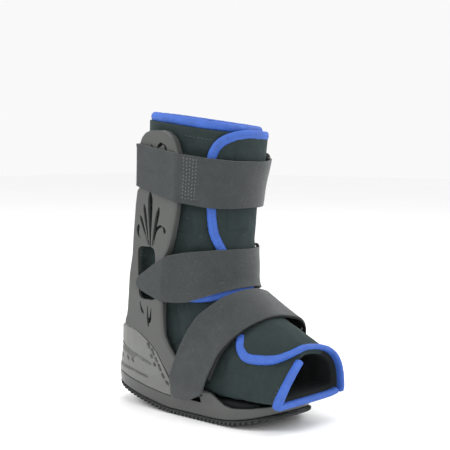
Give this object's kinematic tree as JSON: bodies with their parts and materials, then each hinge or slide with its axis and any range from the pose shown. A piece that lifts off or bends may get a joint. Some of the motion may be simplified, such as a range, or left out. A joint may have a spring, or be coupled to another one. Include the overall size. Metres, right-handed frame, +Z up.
{
  "type": "medical walking boot",
  "caption": "Short rocker-sole walker boot for a small leg: padded wrap liner with bound edges in a plastic shell with two side uprights, held by three hook-and-loop straps",
  "frame": {"origin": "On the floor under the middle of the whole boot's box", "axes": "+Z up, +X towards the toe, -Y towards the side that the picture shows"},
  "size_m": [0.214, 0.1152, 0.2703],
  "materials": {
    "tread_rubber": "matt dark grey rubber tread with cross teeth",
    "shell_plastic": "satin charcoal moulded plastic",
    "cap_plastic": "smooth satin grey moulded plastic",
    "insole_board": "flat dark grey foam board",
    "liner_fabric": "dark green-charcoal brushed loop fabric on foam",
    "blue_binding": "bright blue stretch binding with a soft sheen",
    "strap_fabric": "dark grey brushed strap fabric",
    "ring_plastic": "black moulded plastic"
  },
  "bodies": {
    "root": {"outsole": "tread_rubber", "sole_pan": "shell_plastic", "heel_cap": "cap_plastic", "upright_near": "shell_plastic", "upright_far": "shell_plastic", "insole": "insole_board", "liner": "liner_fabric", "shaft_flap": "liner_fabric", "foot_flap": "liner_fabric", "collar_binding": "blue_binding", "shaft_flap_binding": "blue_binding", "ankle_binding": "blue_binding", "foot_flap_binding": "blue_binding", "toe_binding": "blue_binding", "upper_strap": "strap_fabric", "middle_strap": "strap_fabric", "lower_strap": "strap_fabric", "upper_ring": "ring_plastic", "middle_ring": "ring_plastic", "lower_ring": "ring_plastic"}
  },
  "joints": []
}
